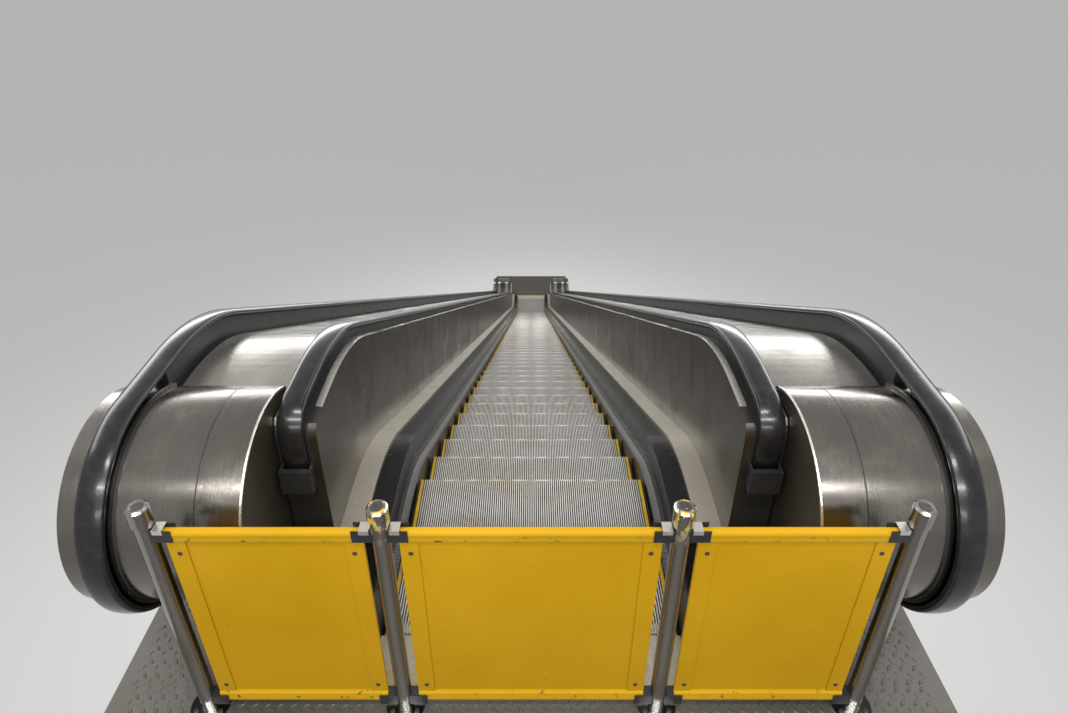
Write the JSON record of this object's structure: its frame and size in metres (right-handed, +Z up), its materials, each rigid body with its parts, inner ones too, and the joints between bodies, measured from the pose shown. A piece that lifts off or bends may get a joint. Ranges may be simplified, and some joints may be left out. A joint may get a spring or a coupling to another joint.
{
  "type": "escalator",
  "caption": "Long inclined escalator with cleated steps, stainless shared decks, drum newels, a closing barrier and its truss on trestles.",
  "frame": {"origin": "centre of the bounding box, on the ground", "axes": "+X across the machine to the right as one looks down the flight, +Y down the flight from the upper landing, +Z up"},
  "size_m": [2.612, 23.3934, 12.5885],
  "materials": {
    "floor_plate": "embossed, worn",
    "comb_metal": "cast, worn yellow edge",
    "step_metal": "cast, cleated, stained",
    "track_steel": "dark primer",
    "housing_paint": "grey paint",
    "skirt_black": "black satin",
    "brush_grey": "grey bristles in an aluminium rail",
    "bright_strip": "bright brushed",
    "panel_steel": "brushed, warm grey",
    "core_black": "black",
    "deck_steel": "brushed along the deck",
    "cladding_steel": "brushed",
    "handrail_rubber": "glossy black",
    "newel_steel": "brushed round the drum",
    "newel_face_steel": "dark satin",
    "pedestal_steel": "satin",
    "inlet_black": "black",
    "box_grey": "dark grey",
    "truss_paint": "grey paint",
    "post_steel": "polished",
    "board_yellow": "amber yellow, chipped",
    "clip_black": "black"
  },
  "bodies": {
    "root": {"landing_plate_upper": "floor_plate", "landing_plate_lower": "floor_plate", "comb_upper": "comb_metal", "comb_lower": "comb_metal", "steps_1": "step_metal", "steps_2": "step_metal", "steps_3": "step_metal", "steps_4": "step_metal", "steps_5": "step_metal", "steps_6": "step_metal", "track_bed": "track_steel", "machine_housing_upper": "housing_paint", "machine_housing_lower": "housing_paint", "skirts": "skirt_black", "skirt_brush_rails": "brush_grey", "inner_ledges": "skirt_black", "bevel_strips": "bright_strip", "inner_panels_left": "panel_steel", "inner_panels_right": "panel_steel", "balustrade_core_left": "core_black", "balustrade_core_right": "core_black", "deck_left": "deck_steel", "deck_right": "deck_steel", "side_cladding_left": "cladding_steel", "side_cladding_right": "cladding_steel", "handrail_guides": "core_black", "handrail_inner_left": "handrail_rubber", "handrail_inner_right": "handrail_rubber", "handrail_outer_left": "handrail_rubber", "handrail_outer_right": "handrail_rubber", "newel_drums_upper": "newel_steel", "newel_drums_lower": "newel_steel", "newel_faces": "newel_face_steel", "newel_pedestals_upper": "pedestal_steel", "newel_pedestals_lower": "pedestal_steel", "handrail_inlets": "inlet_black", "deck_end_boxes": "box_grey", "truss_side_left": "truss_paint", "truss_side_right": "truss_paint", "truss_soffit": "housing_paint", "trestle_lower": "truss_paint", "trestle_middle": "truss_paint", "trestle_upper": "truss_paint", "barrier_posts": "post_steel", "barrier_board_left": "board_yellow", "barrier_board_centre": "board_yellow", "barrier_board_right": "board_yellow", "barrier_clips": "clip_black"}
  },
  "joints": []
}
